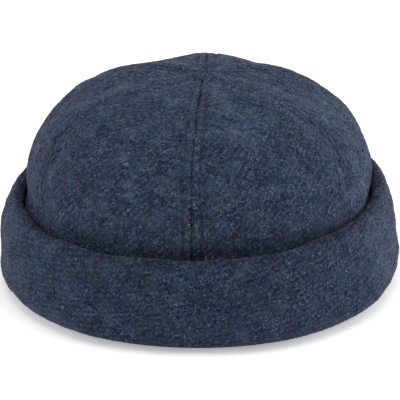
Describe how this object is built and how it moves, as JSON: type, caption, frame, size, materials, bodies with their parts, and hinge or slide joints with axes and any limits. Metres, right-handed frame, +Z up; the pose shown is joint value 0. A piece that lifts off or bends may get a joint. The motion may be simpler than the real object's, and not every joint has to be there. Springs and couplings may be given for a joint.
{
  "type": "docker beanie",
  "caption": "Close brimless cap of dark navy felted wool cloth: a low rounded crown of sewn gores, open below, with a doubled cuff turned up round the rim.",
  "frame": {"origin": "under the middle of the rim, on the surface that the cap rests on", "axes": "+Z up to the top of the crown, the front of the cap towards -Y, the wearer's left towards +X"},
  "size_m": [0.1858, 0.2138, 0.0947],
  "materials": {
    "crown_wool": "felted wool twill, dark navy melange, matt with a short nap",
    "cuff_wool": "felted wool twill, dark navy melange, matt with a short nap, folded double"
  },
  "bodies": {
    "root": {"gore_front_left": "crown_wool", "gore_side_left": "crown_wool", "gore_back_left": "crown_wool", "gore_back_right": "crown_wool", "gore_side_right": "crown_wool", "gore_front_right": "crown_wool", "cuff": "cuff_wool"}
  },
  "joints": []
}
